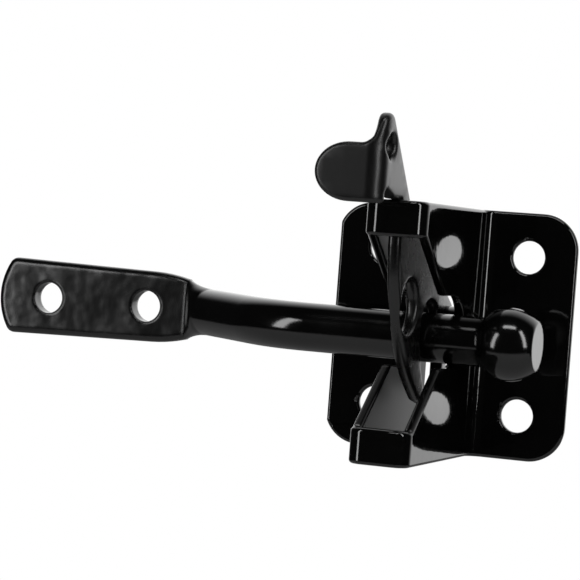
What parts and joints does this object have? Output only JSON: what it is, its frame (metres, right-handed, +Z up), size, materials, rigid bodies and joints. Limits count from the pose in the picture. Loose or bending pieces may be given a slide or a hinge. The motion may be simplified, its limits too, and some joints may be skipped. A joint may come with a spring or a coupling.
{
  "type": "automatic gate latch",
  "caption": "Gravity gate latch: a pressed post bracket with a slotted mouth, a pivoting hook lever with thumb tab, and a ball-ended strike bar with a flat screw plate.",
  "frame": {"origin": "centre of the four screw holes, in the plane of the post bracket's back face, where it meets the post", "axes": "+Y back into the post, +Z up, +X to the right along the post plate, towards the ball end of the bar"},
  "size_m": [0.1528, 0.07, 0.0794],
  "materials": {
    "black_coat": "gloss black powder coat on steel"
  },
  "bodies": {
    "fixed": {"post_bracket": "black_coat", "pivot_rivet": "black_coat", "left_spacer": "black_coat", "right_spacer": "black_coat", "strike_bar": "black_coat"},
    "lever": {"latch_lever": "black_coat"}
  },
  "joints": [
    {"name": "lever_lift", "type": "hinge", "parent": "fixed", "child": "lever", "pos_m": [0, -0.0095, 0.001], "axis": [-1, 0, 0], "range_deg": [0, 42]}
  ]
}
